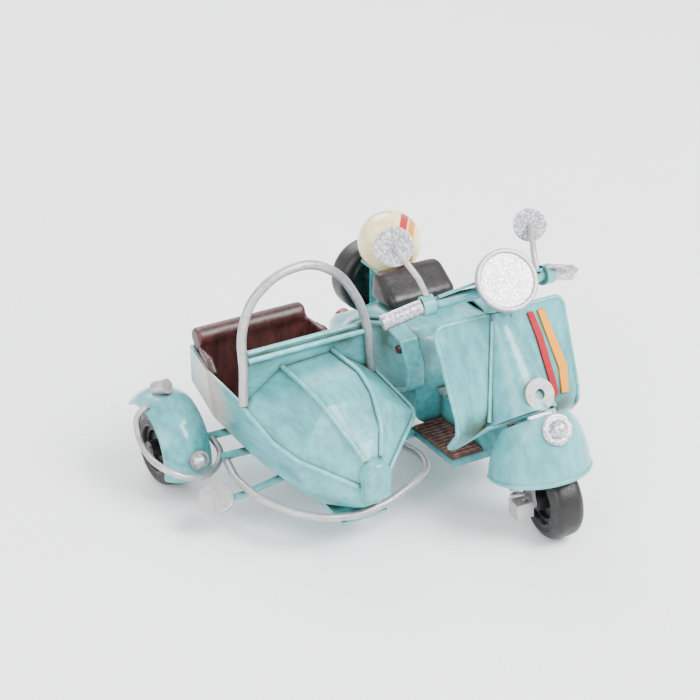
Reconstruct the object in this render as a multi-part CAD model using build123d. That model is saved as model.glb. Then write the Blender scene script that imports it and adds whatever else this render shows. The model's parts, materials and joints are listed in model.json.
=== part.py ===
from build123d import *

import os
from math import cos, hypot, radians, sin, tan

# Hand-made tin model of a scooter with a sidecar.
# +X is forward, +Y the rider's left, +Z up. The model is laid out with x = 0 at the front wheel's
# contact, y = 0 on the scooter's centre plane and z = 0 on the ground; at the end everything is
# shifted so that the origin is the middle of the bounding box's floor.

# ---- driving dimensions, mm ----
TIN = 0.7                    # sheet thickness of every tin panel
BEAD_R = 0.6                 # radius of the wire soldered along the sheet edges
FIT = 0.05                   # radial running clearance of every shaft
SEAM = 0.3                   # gap kept between pieces that move past each other

TYRE_R = 10.0                # outer radius of all four tyres
TYRE_W = 8.0
TYRE_SHOULDER = 3.0
RIM_R = 5.6
RIM_W = 5.6
BOSS_R = 2.2                 # hub boss that runs against the fork
BOSS_W = 9.4
AXLE_R = 0.9

RAKE = 25.0                  # steering axis leans back, degrees from vertical
STEER_X = -4.0               # where the steering axis crosses the front axle's height
FORK_YAW = -8.0              # the fork is soldered on a little to the rider's right
COLUMN_R = 1.6
HEAD_TUBE_R = 2.6
HEAD_TUBE_LOW = 31.5         # heights of the head tube's two ends
HEAD_TUBE_HIGH = 51.0
CROWN_Z = 24.0
HANDLEBAR_Z = 56.0

FORK_X = -0.8                # front wheel's centre, before the fork is turned
FORK_Y = 2.4
FORK_GAP = BOSS_W / 2 + SEAM  # fork leg's inner face from the wheel's centre plane
LEG_T = 0.9
LEG_W = 2 * AXLE_R + 0.8

BAR_R = 1.5
GRIP_R = 1.9
GRIP_LEN = 10.4
LEFT_GRIP_LEN = 8.4
GRIP_Y = 18.6                # inner end of each grip from the centre plane
GRIP_X = -28.4
GRIP_Z = HANDLEBAR_Z - 1.3

SHIELD_TOP = 51.0
SHIELD_HALF = 17.6           # half width of the leg shield at its knee
SHIELD_TOP_HALF = 18.6
RIB_TOP_Y = 2.4
RIB_LOW_Y = 9.2
RIB_LOW_Z = 27.5
PANEL_BULGE = 10.5           # how far the centre panel stands forward at its lower lip

FLOOR_LOW = 14.0             # underside of the floorboard
BODY_FRONT = -40.0            # front face of the tail casing, where the floor ends
FLOOR_FRONT = -19.5

REAR_AXLE_X = -78.0
SPARE_X = -83.7
SPARE_Z = 36.8

SADDLE_BACK = -65.6
SADDLE_FRONT = -54.3
SADDLE_HALF = 9.7
SADDLE_Y = -0.9              # the saddle sits a little to the rider's right
SADDLE_LOW = 40.2

SIDECAR_Y = -39.85           # sidecar's centre plane
SIDE_WHEEL_X = -71.4
SIDE_WHEEL_Y = -66.9
SIDE_FENDER_R = 15.4         # crown radius of the sidecar wheel's fender
SIDE_FENDER_W = BOSS_W + 3.4
WINDSCREEN_X = -45.6
HOOP_R = 1.15
RIDER_Z = 30.8               # sidecar's rim height at the windscreen

rake = radians(RAKE)
AXIS_UP = Vector(-sin(rake), 0, cos(rake))
AXIS_FORWARD = Vector(cos(rake), 0, sin(rake))
PIVOT = Vector(STEER_X, 0, TYRE_R)
STEER_AXIS = Axis(PIVOT, AXIS_UP)


# ---- shared shapes ----
def on_axis(height):
    """Point of the steering axis at a height above the ground."""
    return PIVOT + AXIS_UP * ((height - PIVOT.Z) / cos(rake))


def rod(start, end, radius):
    """Round bar between two points."""
    start, end = Vector(*start), Vector(*end)
    run = end - start
    seat = Plane(origin=start, z_dir=run)
    return seat * Cylinder(radius, run.length, align=(Align.CENTER, Align.CENTER, Align.MIN))


def block(low, high):
    """Box between its lowest and highest corner."""
    size = [b - a for a, b in zip(low, high)]
    return Pos(*low) * Box(*size, align=(Align.MIN, Align.MIN, Align.MIN))


def bend_radius(before, corner, after, limit):
    """Largest arc that two runs leave room for, up to a limit."""
    run_in, run_out = corner - before, after - corner
    turn = radians(run_in.get_angle(run_out))
    room = 0.45 * min(run_in.length, run_out.length) / tan(max(turn, 0.02) / 2)
    return min(limit, room)


def bent_wire(points, radius, limit=60.0, closed=False):
    """Round wire through a list of points, with an arc at every corner."""
    spots = [Vector(*p) for p in points]
    ring = [spots[-1]] + spots + [spots[0]]
    corners = range(1, len(ring) - 1) if closed else range(2, len(ring) - 2)
    radii = [bend_radius(ring[i - 1], ring[i], ring[i + 1], limit) for i in corners]
    path = FilletPolyline(*spots, radius=radii, close=closed)
    section = Plane(origin=path @ 0, z_dir=path % 0) * Circle(radius)
    return sweep(section, path=path)


def strap(spots, width, y_low, y_high):
    """Flat strip in the side view, through round-ended spots given as (x, z)."""
    outline = None
    for (x0, z0), (x1, z1) in zip(spots, spots[1:]):
        run = hypot(x1 - x0, z1 - z0)
        frame = Plane(origin=(x0, 0, z0), x_dir=(x1 - x0, 0, z1 - z0), z_dir=(0, -1, 0))
        slot = frame * (Pos(run / 2, 0) * SlotCenterToCenter(run, width))
        piece = extrude(slot, amount=y_high - y_low, dir=(0, 1, 0))
        outline = piece if outline is None else outline + piece
    return Pos(0, y_low, 0) * outline


def inset(points, margin):
    """Move each side of a convex outline inward by a margin."""
    count = len(points)
    middle = (sum(p[0] for p in points) / count, sum(p[1] for p in points) / count)
    sides = []
    for i in range(count):
        (a, b), (c, d) = points[i], points[(i + 1) % count]
        length = hypot(c - a, d - b)
        nx, ny = (b - d) / length, (c - a) / length
        if nx * (middle[0] - a) + ny * (middle[1] - b) < 0:
            nx, ny = -nx, -ny
        sides.append((nx, ny, nx * a + ny * b + margin))
    result = []
    for i in range(count):
        (n, m, k), (p, q, r) = sides[i - 1], sides[i]
        det = n * q - m * p
        result.append(((k * q - m * r) / det, (n * r - k * p) / det))
    return result


def section_loft(stations):
    """Straight-sided solid through (x, [(y, z), ...]) outlines."""
    wires = [Wire.make_polygon([(x, y, z) for y, z in outline]) for x, outline in stations]
    return Solid.make_loft(wires, ruled=True)


def biggest(shape):
    """Drop the crumbs that a cut leaves beside a piece."""
    return max(shape.solids(), key=lambda s: s.volume)


def mirrored(shape):
    return shape.mirror(Plane.XZ)


# ---- wheels ----
def tyre():
    """Rubber ring about +Y with rounded shoulders."""
    band = Pos((TYRE_R + RIM_R) / 2, 0) * Rectangle(TYRE_R - RIM_R, TYRE_W)
    tread = band.vertices().group_by(Axis.X)[-1]
    return revolve(fillet(tread, TYRE_SHOULDER), Axis.Y)


def hub():
    """Pressed wheel disc with a boss on each side and a bore that runs on the axle."""
    disc = Rot(90, 0, 0) * Cylinder(RIM_R, RIM_W)
    for side in (-1, 1):
        dish = Rot(90, 0, 0) * Cylinder(RIM_R - 0.9, 1.2)
        disc -= Pos(0, side * (RIM_W / 2 - 0.5), 0) * dish
    boss = Rot(90, 0, 0) * Cylinder(BOSS_R, BOSS_W)
    bore = Rot(90, 0, 0) * Cylinder(AXLE_R + FIT, BOSS_W + 2)
    return disc + boss - bore


def axle(half_left, half_right):
    """Axle pin about Y, from -half_right to +half_left."""
    return rod((0, -half_right, 0), (0, half_left, 0), AXLE_R)


# ---- front end, modelled straight ahead ----
FORK_OUT = FORK_GAP + LEG_T
BOX_OUT = FORK_OUT + 4.4
SPRING_Y = FORK_Y - FORK_OUT - 2.55
FENDER_RIM_Z = 18.0
FENDER_TOP_Z = 33.4
FENDER_REAR_X = -6.4
LIP_SLOPE = Vector(7.6, 0, 6.0)   # rise of the centre panel's lower lip
LIP_ROOM = 2.2                    # room the turning fender needs under that lip


def fork():
    """Crown on the column's foot and two flat legs down to the axle."""
    foot = on_axis(CROWN_Z)
    crown_plane = Plane(origin=foot, x_dir=AXIS_FORWARD, z_dir=AXIS_UP)
    crown = crown_plane * Box(4.4, 2 * FORK_OUT, 1.8)
    legs = None
    bend = (FORK_X - 2.4, 20.4)
    for low in (-FORK_OUT, FORK_GAP):
        leg = strap([(foot.X, foot.Z), bend, (FORK_X, TYRE_R)], LEG_W, low, low + LEG_T)
        legs = leg if legs is None else legs + leg
    hole = Pos(FORK_X, 0, TYRE_R) * Rot(90, 0, 0) * Cylinder(AXLE_R, 40)
    return Pos(0, FORK_Y, 0) * (crown + legs - hole)


def column():
    """Steering column from the crown to the handlebar."""
    lower = on_axis(CROWN_Z) + AXIS_UP * 0.9
    return rod(lower, on_axis(HANDLEBAR_Z - BAR_R), COLUMN_R)


def suspension_box():
    """Solid block on the outer end of the axle that the spring stands on."""
    body = block((-3.2, -BOX_OUT, TYRE_R - 2.9), (1.4, -FORK_OUT, TYRE_R + 1.2))
    hole = Pos(0, 0, TYRE_R) * Rot(90, 0, 0) * Cylinder(AXLE_R, 40)
    return Pos(FORK_X, FORK_Y, 0) * (body - hole)


SPRING_LOW = Vector(FORK_X - 1.2, SPRING_Y, TYRE_R + 1.65)
SPRING_HIGH = Vector(FORK_X - 2.8, SPRING_Y, 18.9)
SPRING_R = 1.75
SPRING_WIRE = 0.42


def spring():
    """Coil spring beside the wheel, between the block and the seat under the fender."""
    run = SPRING_HIGH - SPRING_LOW
    helix = Helix(pitch=1.5, height=run.length, radius=SPRING_R)
    coil = sweep(Plane(origin=helix @ 0, z_dir=helix % 0) * Circle(SPRING_WIRE), path=helix)
    return Plane(origin=SPRING_LOW, z_dir=run) * coil


def spring_seat():
    """Small plate on the fork leg that caps the spring."""
    run = (SPRING_HIGH - SPRING_LOW).normalized()
    place = Plane(origin=SPRING_HIGH + run * (SPRING_WIRE + 0.35), x_dir=(1, 0, 0.2), z_dir=run)
    plate = place * Box(4.2, 2 * (SPRING_R + 0.7), 0.7)
    return plate & block((-9, -30, 10), (9, FORK_Y - FORK_OUT, 26))


def fender_ring(centre_x, height, half_x, half_y, tilt, margin):
    """Ellipse of the front fender's bell at one height."""
    plane = Plane(origin=(centre_x, 0, height), x_dir=(cos(radians(tilt)), 0, sin(radians(tilt))),
                  z_dir=(-sin(radians(tilt)), 0, cos(radians(tilt))))
    return Wire(Edge.make_ellipse(half_x - margin, half_y - margin, plane=plane))


def fender_bell(margin, drop=0.0):
    rings = [
        fender_ring(-3.0, FENDER_RIM_Z - drop, 12.4, 12.6, 11, margin),
        fender_ring(-3.2, FENDER_RIM_Z + 9.0, 10.2, 10.6, 15, margin),
        fender_ring(-1.8, FENDER_TOP_Z - margin, 6.0, 6.4, 22, margin),
    ]
    return Solid.make_loft(rings)


def fender_rear_cut():
    """Everything behind the cape's two upright rear edges."""
    return Pos(FENDER_REAR_X - 40, 0, 30) * Box(80, 80, 80)


def lip_plane(drop):
    """Plane of the centre panel's lower lip, moved down at right angles to itself."""
    plane = Plane(origin=(-12.0, 0, RIB_LOW_Z - 0.4), x_dir=LIP_SLOPE, z_dir=(LIP_SLOPE.Z, 0, -LIP_SLOPE.X))
    return plane.offset(drop)


def above_lip(drop):
    return lip_plane(drop) * Pos(0, 0, -20) * Box(120, 90, 40)


def front_fender():
    """Bell-shaped cape over the front wheel, open behind."""
    outer = fender_bell(0) - above_lip(LIP_ROOM)
    inner = fender_bell(TIN, 0.02) - above_lip(LIP_ROOM + TIN)
    return biggest(outer - inner - fender_rear_cut())


def fender_bead():
    """Wire rolled into the fender's lower rim."""
    rim = fender_ring(-3.0, FENDER_RIM_Z, 12.4, 12.6, 11, TIN / 2)
    edge = rim.edges()[0]
    ring = sweep(Plane(origin=edge @ 0, z_dir=edge % 0) * Circle(BEAD_R + 0.1), path=edge)
    return biggest(ring - fender_rear_cut())


def fender_bracket():
    """Strip from the crown forward to the inside of the fender."""
    foot = on_axis(CROWN_Z)
    return block((foot.X + 1.5, -2.2, CROWN_Z - 0.4), (9.5, 2.2, CROWN_Z + 0.6))


LAMP_AT = Vector(4.6, 0.6, 32.4)
LAMP_DIR = Vector(0.84, 0, 0.54)


def fender_lamp():
    """Turned lamp body on the fender's top."""
    seat = Plane(origin=LAMP_AT - LAMP_DIR * 4.4, z_dir=LAMP_DIR)
    body = seat * Cylinder(3.9, 5.6, align=(Align.CENTER, Align.CENTER, Align.MIN))
    return fillet(body.edges().sort_by(Axis(LAMP_AT, LAMP_DIR))[-1:], 0.7)


def fender_lamp_lens():
    seat = Plane(origin=LAMP_AT + LAMP_DIR * 1.2, z_dir=LAMP_DIR)
    dome = seat * Sphere(2.3)
    half = seat * Pos(0, 0, 5) * Box(10, 10, 10)
    return dome & half


# ---- handlebar group ----
GRIP_DIR = Vector(-0.2, -0.935, -0.27)
BAR_BEND_Y = 6.5


def handlebar():
    """Tube that droops outward from the column to the grips."""
    end = (GRIP_X, -GRIP_Y, GRIP_Z)
    inner = (-26.0, -BAR_BEND_Y, HANDLEBAR_Z)
    mirror_end = (GRIP_X, GRIP_Y, GRIP_Z)
    mirror_inner = (-26.0, BAR_BEND_Y, HANDLEBAR_Z)
    return bent_wire([end, inner, mirror_inner, mirror_end], BAR_R, 12)


def grip(length):
    """Rider's right-hand grip."""
    start = Vector(GRIP_X, -GRIP_Y, GRIP_Z)
    return rod(start, start + GRIP_DIR * length, GRIP_R)


def lever_clamp():
    """Collar round the bar at the grip's inner end."""
    start = Vector(GRIP_X, -GRIP_Y, GRIP_Z)
    inward = (Vector(-26.0, -BAR_BEND_Y, HANDLEBAR_Z) - start).normalized()
    collar = rod(start, start + inward * 3.0, BAR_R + 1.0)
    return collar


STEM_R = 0.75
RIGHT_MIRROR = Vector(-35.7, -22.0, HANDLEBAR_Z + 12.3)
LEFT_MIRROR = Vector(-38.3, 19.3, HANDLEBAR_Z + 7.8)
MIRROR_DIR = Vector(0.85, -0.36, 0.385)


def mirror_disc(centre, radius):
    """Round mirror, a plain disc."""
    disc = Plane(origin=centre, z_dir=MIRROR_DIR) * Cylinder(radius, 1.0)
    return fillet(disc.edges(), 0.3)


def mirror_stem(base, knee, centre):
    """Bent wire from the clamp to the face of the disc."""
    end = centre + MIRROR_DIR * (0.5 + STEM_R * 0.8)
    return bent_wire([base, knee, end], STEM_R, 6)


HEADLAMP_AT = Vector(-20.2, 0, HANDLEBAR_Z + 4.5)
HEADLAMP_DIR = Vector(0.78, -0.19, 0.60)


def headlamp_shell():
    """Teal cup behind the headlamp's glass."""
    back = Plane(origin=HEADLAMP_AT - HEADLAMP_DIR * 6.0, z_dir=HEADLAMP_DIR)
    return back * Cone(4.6, 7.0, 5.2, align=(Align.CENTER, Align.CENTER, Align.MIN))


def headlamp_rim():
    face = Plane(origin=HEADLAMP_AT, z_dir=HEADLAMP_DIR)
    ring = face * (Cylinder(7.75, 1.6) - Cylinder(6.5, 3))
    return fillet(ring.edges().filter_by(GeomType.CIRCLE).sort_by(Axis(HEADLAMP_AT, HEADLAMP_DIR))[-2:], 0.45)


def headlamp_glass():
    return Plane(origin=HEADLAMP_AT - HEADLAMP_DIR * 0.1, z_dir=HEADLAMP_DIR) * Cylinder(6.5, 1.0)


def lamp_bracket():
    """Flat strip from the bar up to the headlamp shell."""
    low = Vector(-27.7, -14.5, HANDLEBAR_Z + 0.6)
    high = Vector(-24.6, -4.4, HANDLEBAR_Z + 3.6)
    run = high - low
    plane = Plane(origin=low, x_dir=run, z_dir=(-0.5, -0.1, 0.85))
    return plane * Box(run.length, 3.2, TIN, align=(Align.MIN, Align.CENTER, Align.CENTER))


def brake_lever():
    """Thin lever above the left grip."""
    start = Vector(-27.2, GRIP_Y - 2.0, GRIP_Z + 2.6)
    return bent_wire([start, start + Vector(1.6, 3.0, 0.2), start + Vector(0.8, 8.8, -2.4)], 0.55, 4)


def steering_sweep():
    """Room that the turning collar needs."""
    low = on_axis(HEAD_TUBE_HIGH)
    return rod(low, low + AXIS_UP * 8, 3.6 + SEAM)


def steering_collar():
    """Cone under the headlamp where the column leaves the head tube."""
    low = on_axis(HEAD_TUBE_HIGH) + AXIS_UP * SEAM
    seat = Plane(origin=low, z_dir=AXIS_UP)
    cone = seat * Cone(3.6, 2.6, 3.0, align=(Align.CENTER, Align.CENTER, Align.MIN))
    return cone - rod(on_axis(40), on_axis(70), COLUMN_R)


# ---- leg shield ----
def shield_x(height):
    """Distance forward of the shield's flat part at a height: it lies in the steering axis."""
    return on_axis(height).X


def shield_slab():
    """Bent sheet across the whole width: flat above, curled back to the floorboard below."""
    knee = (shield_x(27.6), 27.6)
    top = (shield_x(SHIELD_TOP), SHIELD_TOP)
    tail = (FLOOR_FRONT - 0.6, FLOOR_LOW + 3.2)
    spots = [Vector(x, 0, z) for x, z in (top, knee, tail)]
    radius = bend_radius(*spots, 7.0)
    path = FilletPolyline(*spots, radius=radius)
    strip = Plane(origin=spots[0], x_dir=(0, 1, 0), z_dir=path % 0) * Rectangle(60, TIN)
    return sweep(strip, path=path)


SHIELD_CORNER = 2.4


def shield_outline():
    """Front view of the rider's right half."""
    spots = [(0, SHIELD_TOP), (-SHIELD_TOP_HALF, SHIELD_TOP), (-SHIELD_HALF, 29.0),
             (-SHIELD_HALF + 0.6, 17.6), (-RIB_LOW_Y, RIB_LOW_Z - 0.2), (0, 32.0)]
    face = Plane.YZ * make_face(Polyline(*spots, close=True).edges())
    corner = [v for v in face.vertices() if v.Z > 50 and v.Y < -10]
    face = fillet(corner, SHIELD_CORNER)
    return extrude(Pos(-60, 0, 0) * face, 80, dir=(1, 0, 0))


def shield_half():
    sheet = shield_slab() & shield_outline()
    return biggest(sheet - rod(on_axis(20), on_axis(60), HEAD_TUBE_R))


def head_tube():
    """Sleeve in the shield's middle that carries the steering column."""
    outer = rod(on_axis(HEAD_TUBE_LOW), on_axis(HEAD_TUBE_HIGH), HEAD_TUBE_R)
    return outer - rod(on_axis(20), on_axis(60), COLUMN_R + FIT)


def rib_y(height):
    return RIB_TOP_Y + (SHIELD_TOP - height) * (RIB_LOW_Y - RIB_TOP_Y) / (SHIELD_TOP - RIB_LOW_Z)


def panel_bulge(height):
    return 1.6 + (SHIELD_TOP - height) * (PANEL_BULGE - 1.6) / (SHIELD_TOP - 33.5)


def panel_section(height, margin, back):
    """Half ellipse of the centre panel with a straight back line."""
    x0 = shield_x(height) + TIN / 2
    plane = Plane(origin=(x0, 0, height), x_dir=(1, 0, 0), z_dir=(0, 0, 1))
    wide, deep = rib_y(height) - margin, panel_bulge(height) - margin
    bow = Edge.make_ellipse(deep, wide, plane=plane, start_angle=270, end_angle=90)
    corner_a, corner_b = bow @ 0, bow @ 1
    if back:
        rear_a, rear_b = corner_a - Vector(back, 0, 0), corner_b - Vector(back, 0, 0)
        lines = [Edge.make_line(corner_b, rear_b), Edge.make_line(rear_b, rear_a),
                 Edge.make_line(rear_a, corner_a)]
    else:
        lines = [Edge.make_line(corner_b, corner_a)]
    return Wire([bow] + lines)


def lip_cut():
    """Space below the panel's lower lip, which rises forward over the fender."""
    return lip_plane(0) * Pos(0, 0, 20) * Box(80, 60, 40)


def centre_panel():
    """Bulged sheet between the two ribs, in front of the head tube."""
    heights = (SHIELD_TOP - 0.4, 42.0, 34.0, 24.0)
    outer = Solid.make_loft([panel_section(h, 0, 0) for h in heights])
    inner = Solid.make_loft([panel_section(h, TIN, 1.2) for h in heights])
    front = outer - inner - lip_cut() - rod(on_axis(20), on_axis(60), HEAD_TUBE_R)
    return biggest(front)


def sheet_point(y, z, lift=0.0):
    """Point of the shield's flat front, lifted off it."""
    return (shield_x(z) + TIN / 2 * cos(rake) + lift, y, z)


def shield_bead():
    """Wire round the whole edge of the shield and along the panel's lower lip."""
    half = SHIELD_HALF
    right = [
        (shield_x(SHIELD_TOP), 0, SHIELD_TOP + 0.3),
        (shield_x(SHIELD_TOP), -SHIELD_TOP_HALF, SHIELD_TOP),
        (shield_x(30.5), -half, 30.5),
        (shield_x(27.6) - 0.9, -half, 26.6),
        (FLOOR_FRONT - 0.4, -half + 0.6, FLOOR_LOW + 4.0),
        (-12.2, -RIB_LOW_Y - 0.3, RIB_LOW_Z - 0.6),
    ]
    lip = (shield_x(33.0) + PANEL_BULGE + 0.2, 0, 33.0)
    left = [(x, -y, z) for x, y, z in reversed(right[1:])]
    return bent_wire(right[1:] + [lip] + left, BEAD_R, SHIELD_CORNER, closed=True)


def shield_rib():
    """Wire over the seam between the flat sheet and the centre panel, rider's right."""
    top = sheet_point(-RIB_TOP_Y - 0.2, SHIELD_TOP - 1.4, 0.35)
    low = sheet_point(-RIB_LOW_Y - 0.1, RIB_LOW_Z + 1.0, 0.35)
    return rod(top, low, BEAD_R)


def badge():
    """Plain washer on the centre panel."""
    at = Vector(shield_x(35.9) + panel_bulge(35.9) + 0.35, 0.9, 35.9)
    face = Plane(origin=at, z_dir=(0.86, -0.03, 0.5))
    return face * (Cylinder(3.9, 0.9) - Cylinder(1.3, 3))


def stripe(spots, height):
    """Raised paint stripe on the shield's left half, through (y, z, half width) spots."""
    edge_a = [(y - w, z) for y, z, w in spots]
    edge_b = [(y + w, z) for y, z, w in reversed(spots)]
    rim = Plane.YZ * make_face(Polyline(*(edge_a + edge_b), close=True).edges())
    column_ = extrude(Pos(-60, 0, 0) * rim, 80, dir=(1, 0, 0))
    face = Plane(origin=on_axis(40) + AXIS_FORWARD * (TIN / 2), z_dir=AXIS_FORWARD)
    return column_ & (face * Box(80, 60, height, align=(Align.CENTER, Align.CENTER, Align.MIN)))


# ---- floorboard ----
FLOOR_TOP = FLOOR_LOW + 1.0
FLOOR_HALF = 14.4


def floorboard():
    return block((BODY_FRONT, -FLOOR_HALF, FLOOR_LOW), (FLOOR_FRONT + 0.5, FLOOR_HALF, FLOOR_TOP))


TUNNEL_HALF = 4.6
TUNNEL_TOP = 23.4


def floor_mat():
    """Ribbed mat beside the tunnel, rider's right."""
    low_x, high_x = BODY_FRONT + 0.6, FLOOR_FRONT - 1.4
    mat = block((low_x, -FLOOR_HALF + 0.8, FLOOR_TOP), (high_x, -TUNNEL_HALF - 0.3, FLOOR_TOP + 0.5))
    count = 13
    pitch = (high_x - low_x) / count
    for i in range(count):
        x = low_x + (i + 0.5) * pitch
        mat += block((x - pitch * 0.27, -FLOOR_HALF + 1.2, FLOOR_TOP + 0.4),
                     (x + pitch * 0.27, -TUNNEL_HALF - 0.7, FLOOR_TOP + 0.9))
    return mat


def tunnel():
    """Low box along the middle of the floor, sloped at its front."""
    side = [(BODY_FRONT, FLOOR_TOP), (BODY_FRONT, TUNNEL_TOP), (-31.0, TUNNEL_TOP),
            (FLOOR_FRONT - 1.2, FLOOR_TOP)]
    face = Plane.XZ * make_face(Polyline(*side, close=True).edges())
    return extrude(Pos(0, TUNNEL_HALF, 0) * face, 2 * TUNNEL_HALF, dir=(0, -1, 0))


def brake_pedal():
    """Two silver strips soldered along the tunnel's top, overhanging its right side."""
    right = -TUNNEL_HALF - 1.6
    strips = [(-39.4, -35.6), (-35.0, -31.2)]
    return [block((rear, right, TUNNEL_TOP), (front, right + 3.6, TUNNEL_TOP + 0.9)) for rear, front in strips]


# ---- rear body ----
BODY_LOW = 14.6
BODY_STATIONS = [
    (BODY_FRONT, 12.4, 37.0), (-47.0, 13.6, 39.6), (-58.0, 14.0, 39.6), (-68.0, 13.4, 37.0),
    (-76.0, 12.0, 30.0), (-82.0, 10.4, 25.8), (-90.0, 7.8, 23.2), (-96.0, 4.8, 20.4),
]


def body_section(x, half, top, margin, low):
    height = top - margin - low
    wide = 2 * (half - margin)
    corner = min(0.42 * wide, 5.2, 0.42 * height)
    outline = RectangleRounded(wide, height, corner)
    return (Plane(origin=(x, 0, low + height / 2), x_dir=(0, 1, 0), z_dir=(1, 0, 0)) * outline).wire()


def rear_body():
    """Hollow tail casing under the saddle, open below for the wheel."""
    outer = [body_section(x, h, t, 0, BODY_LOW) for x, h, t in BODY_STATIONS]
    inner = []
    for i, (x, h, t) in enumerate(BODY_STATIONS):
        shift = -TIN if i == 0 else (TIN * 1.5 if i == len(BODY_STATIONS) - 1 else 0)
        inner.append(body_section(x + shift, h, t, TIN, BODY_LOW - 7))
    shell = Solid.make_loft(outer) - Solid.make_loft(inner)
    return biggest(shell)


def body_solid():
    return Solid.make_loft([body_section(x, h, t, 0, BODY_LOW) for x, h, t in BODY_STATIONS])


COWL_Y = 15.4
COWL_SPOTS = [(-59.5, 37.0), (-50.0, 40.6), (-42.0, 39.0), (-38.6, 33.0), (-38.4, 26.4),
              (-45.0, 23.6), (-56.0, 22.6), (-64.0, 24.0), (-65.5, 31.0)]


def cowl_blank(y_low, y_high, margin):
    spots = inset(COWL_SPOTS, margin) if margin else COWL_SPOTS
    face = Plane.XZ * make_face(Polyline(*spots, close=True).edges())
    face = fillet(face.vertices(), 1.6)
    return extrude(Pos(0, y_high, 0) * face, y_high - y_low, dir=(0, -1, 0))


def engine_cover():
    """Pressed side cover of the engine, rider's right, standing off the tail casing."""
    outer = cowl_blank(-COWL_Y, -11.0, 0)
    hollow = cowl_blank(-COWL_Y + TIN, -9.0, TIN)
    return biggest(outer - hollow - body_solid())


def engine_cover_bead():
    """Wire round the cover's outer edge."""
    spots = [(x, -COWL_Y, z) for x, z in inset(COWL_SPOTS, 0.45)]
    return bent_wire(spots, BEAD_R, 2.6, closed=True)


def cover_knob():
    return rod((-42.4, -COWL_Y - 1.1, 36.6), (-42.4, -COWL_Y, 36.6), 1.1)


def body_bead():
    """Curved wire on the casing's right shoulder below the saddle."""
    line = [(-50.0, -12.6, 40.4), (-58.0, -13.6, 38.6), (-68.0, -13.4, 34.0), (-76.0, -12.0, 27.0)]
    return bent_wire(line, BEAD_R, 40)


def tail_lamp():
    """Red lamp on the end of the tail."""
    return Pos(-95.8, 0, 18.4) * Rot(0, 90, 0) * Cylinder(2.6, 3.2)


def engine_block():
    """Block across the casing that the rear arms are soldered to."""
    return block((-66.6, -12.4, BODY_LOW + 1.0), (-58.0, 12.4, BODY_LOW + 7.0))


def rear_arm(side):
    low = FORK_GAP if side > 0 else -FORK_OUT
    arm = strap([(-64.0, BODY_LOW + 0.4), (REAR_AXLE_X, TYRE_R)], 3.0, low, low + LEG_T)
    hole = Pos(REAR_AXLE_X, 0, TYRE_R) * Rot(90, 0, 0) * Cylinder(AXLE_R, 40)
    return arm - hole - engine_block()


# ---- saddle, rack, helmet, spare wheel ----
def saddle():
    """Wedge cushion, high at the back."""
    side = [(SADDLE_BACK, SADDLE_LOW), (SADDLE_BACK + 0.6, SADDLE_LOW + 7.4),
            (SADDLE_BACK + 4.0, SADDLE_LOW + 7.6), (SADDLE_FRONT, SADDLE_LOW + 3.0),
            (SADDLE_FRONT, SADDLE_LOW)]
    face = Plane.XZ * make_face(Polyline(*side, close=True).edges())
    body = extrude(Pos(0, SADDLE_Y + SADDLE_HALF, 0) * face, 2 * SADDLE_HALF, dir=(0, -1, 0))
    upper = body.edges().filter_by(lambda e: e.center().Z > SADDLE_LOW + 0.5)
    return fillet(upper, 1.5)


def saddle_base():
    low = BODY_STATIONS[1][2] - 0.4
    base = block((SADDLE_BACK + 1.2, SADDLE_Y - SADDLE_HALF + 1.4, low - 2.4),
                 (SADDLE_FRONT - 1.2, SADDLE_Y + SADDLE_HALF - 1.4, SADDLE_LOW))
    return biggest(base - body_solid())


RACK_TOP = 44.0
STAY_X = SPARE_X + BOSS_W / 2   # rear face of the stay, where the spare wheel's boss bears
HELMET_AT = Vector(-73.0, 0, 50.2)
HELMET_R = 8.3


def rack():
    """Bent strip behind the saddle: a flat top for the helmet and a tail down to the body."""
    front = SADDLE_BACK - 0.4
    top = block((STAY_X, -5.0, RACK_TOP - TIN), (front, 5.0, RACK_TOP))
    leg = block((front - TIN, -5.0, 34.0), (front, 5.0, RACK_TOP))
    stay = block((STAY_X, -2.4, 24.0), (STAY_X + 1.0, 2.4, RACK_TOP))
    return biggest(top + leg + stay - body_solid() - spare_bolt())


def helmet():
    """Open dome with a flat rim on the rack."""
    dome = Pos(*HELMET_AT) * Sphere(HELMET_R)
    keep = Pos(HELMET_AT.X, 0, RACK_TOP + 20) * Box(60, 60, 40)
    hollow = Pos(*HELMET_AT) * Sphere(HELMET_R - 1.2)
    return (dome - hollow) & keep


def spare_bolt():
    """Bolt along the model through the spare wheel and the stay, with a nut at each end."""
    front, rear = STAY_X + 1.0, SPARE_X - BOSS_W / 2
    bar = rod((rear, 0, SPARE_Z), (front, 0, SPARE_Z), AXLE_R + FIT)
    rear_nut = rod((rear - 1.4, 0, SPARE_Z), (rear, 0, SPARE_Z), 2.0)
    front_nut = rod((front, 0, SPARE_Z), (front + 0.9, 0, SPARE_Z), 1.7)
    return bar + rear_nut + front_nut


# ---- sidecar ----
# Each station: x, rim (right y, left y, right z, left z), half width and height of the chine,
# half width and height of the bottom.
TUB = [
    (-79.0, (-55.6, -24.1, 32.0, 32.0), (15.6, 22.0), (10.6, 15.0)),
    (-66.0, (-57.8, -21.9, 31.4, 31.4), (16.0, 17.4), (9.0, 9.6)),
    (-46.5, (-58.1, -21.4, RIDER_Z, RIDER_Z), (15.6, 16.0), (9.0, 8.6)),
    (-34.0, (-56.0, -21.0, 25.6, 28.6), (14.4, 15.6), (8.2, 8.8)),
    (-27.0, (-53.3, -20.9, 23.4, 27.4), (12.8, 15.4), (6.8, 9.6)),
    (-19.0, (-46.8, -31.6, 20.8, 22.6), (7.0, 15.6), (3.6, 11.6)),
    (-15.6, (-43.4, -36.2, 19.4, 19.8), (3.2, 15.8), (2.4, 13.2)),
]
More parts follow.
